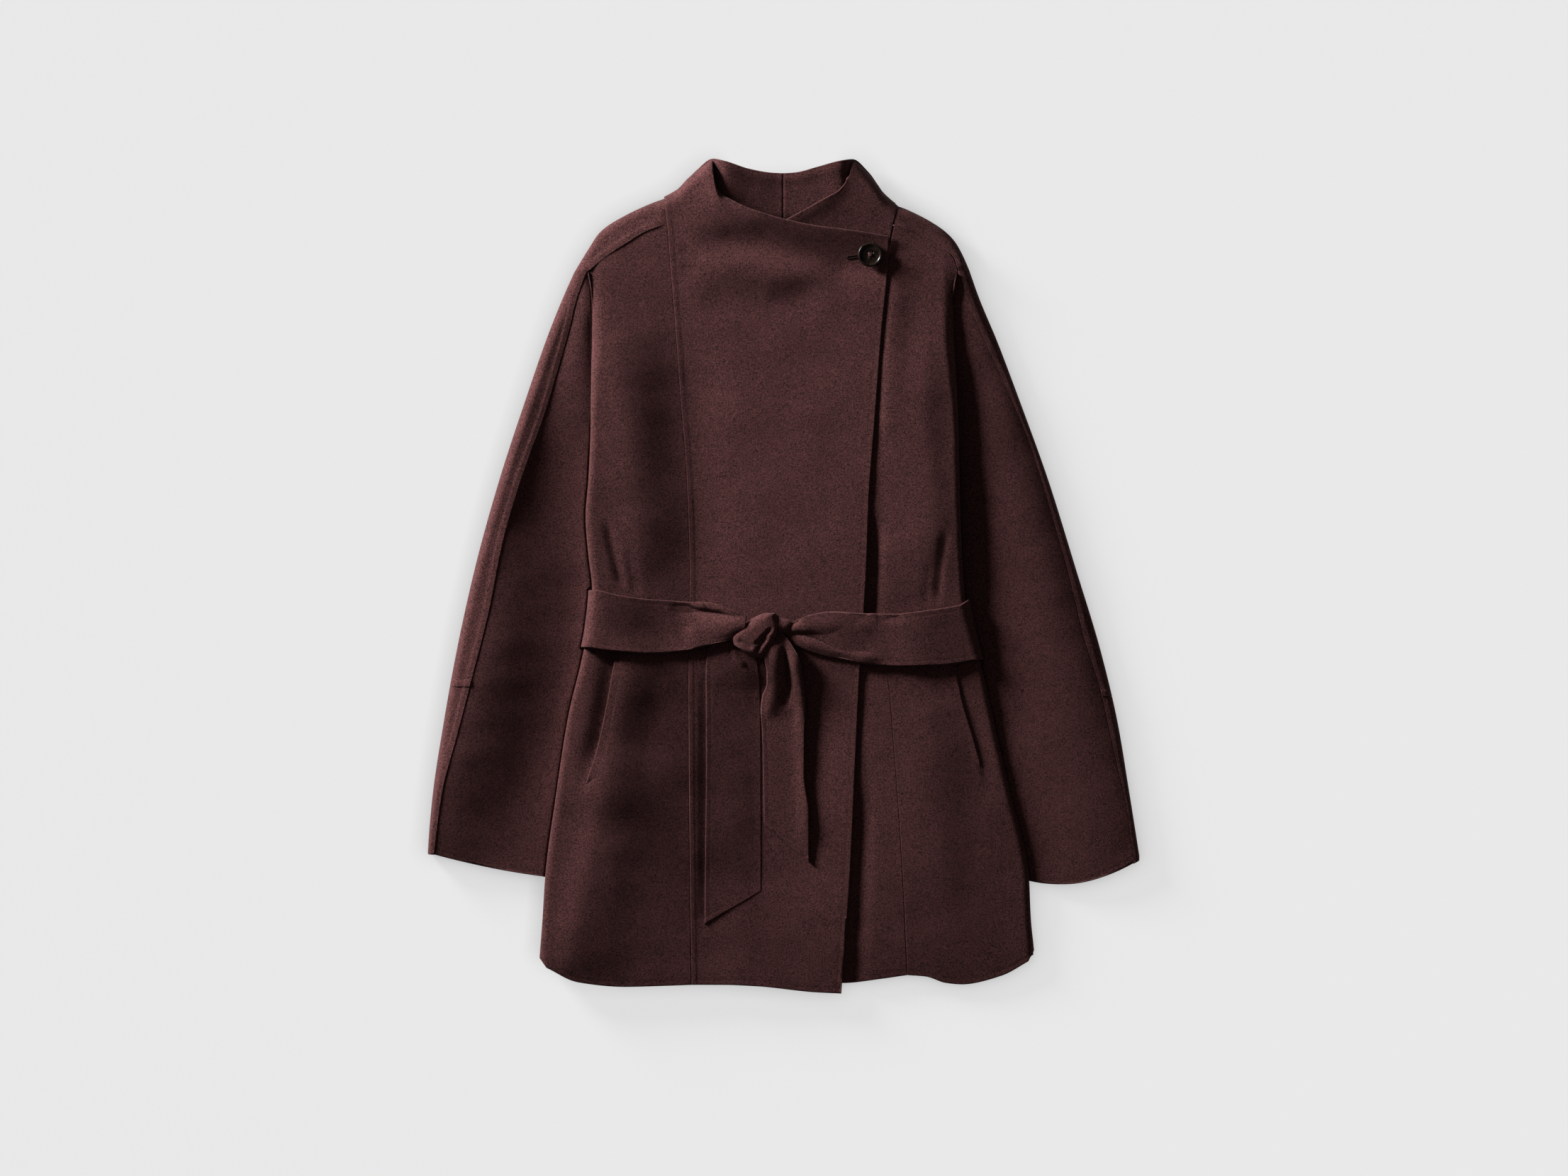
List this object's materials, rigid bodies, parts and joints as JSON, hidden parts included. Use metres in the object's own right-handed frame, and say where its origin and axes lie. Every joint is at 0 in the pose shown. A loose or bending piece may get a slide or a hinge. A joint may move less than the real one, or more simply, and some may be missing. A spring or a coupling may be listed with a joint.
{
  "type": "belted wool coat, laid flat",
  "caption": "Short belted wool coat with a lapped front, funnel collar and dolman sleeves, laid flat on its back with the belt tied in front.",
  "frame": {"origin": "middle of the coat's outline, on the surface that it lies on", "axes": "+X towards the wearer's left, +Y towards the collar, +Z out of the front"},
  "size_m": [0.7228, 0.848, 0.0404],
  "materials": {
    "wool": "dark burgundy-brown double-faced wool with a short brushed nap, matt with a faint sheen",
    "horn": "dark brown horn-look resin, half gloss"
  },
  "bodies": {
    "root": {"back": "wool", "right_back_collar": "wool", "left_back_collar": "wool", "right_side_front": "wool", "left_side_front": "wool", "right_front": "wool", "left_front": "wool", "left_front_collar": "wool", "right_sleeve_back": "wool", "left_sleeve_back": "wool", "right_forearm_back": "wool", "left_forearm_back": "wool", "right_sleeve_front": "wool", "left_sleeve_front": "wool", "right_pocket_lip": "wool", "left_pocket_lip": "wool", "belt_right": "wool", "belt_left": "wool", "belt_back": "wool", "belt_tail_right": "wool", "belt_tail_left": "wool", "belt_knot": "wool", "button": "horn"}
  },
  "joints": []
}
